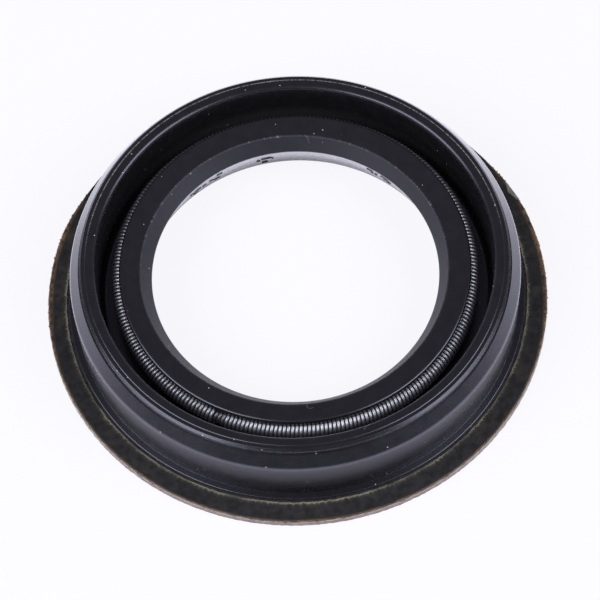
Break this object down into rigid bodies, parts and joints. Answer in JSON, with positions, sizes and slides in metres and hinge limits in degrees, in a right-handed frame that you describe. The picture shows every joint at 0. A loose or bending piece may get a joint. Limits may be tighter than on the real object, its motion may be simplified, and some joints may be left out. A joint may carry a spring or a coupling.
{
  "type": "radial shaft seal",
  "caption": "Flanged radial shaft seal: a stamped steel case in black moulded rubber, with a sealing lip held in by a garter spring.",
  "frame": {"origin": "on the shaft axis, at the flange's underside", "axes": "+Z along the shaft axis, from the flange (air side) to the rim and spring (oil side); X and Y are equivalent"},
  "size_m": [0.0684, 0.0684, 0.0111],
  "materials": {
    "case_steel": "phosphated and dark with bonding agent, bare at the sheared edge",
    "rubber": "moulded, semi-matt",
    "spring_steel": "bright drawn wire"
  },
  "bodies": {
    "root": {"steel_case": "case_steel", "rubber_body": "rubber", "garter_spring": "spring_steel"}
  },
  "joints": []
}
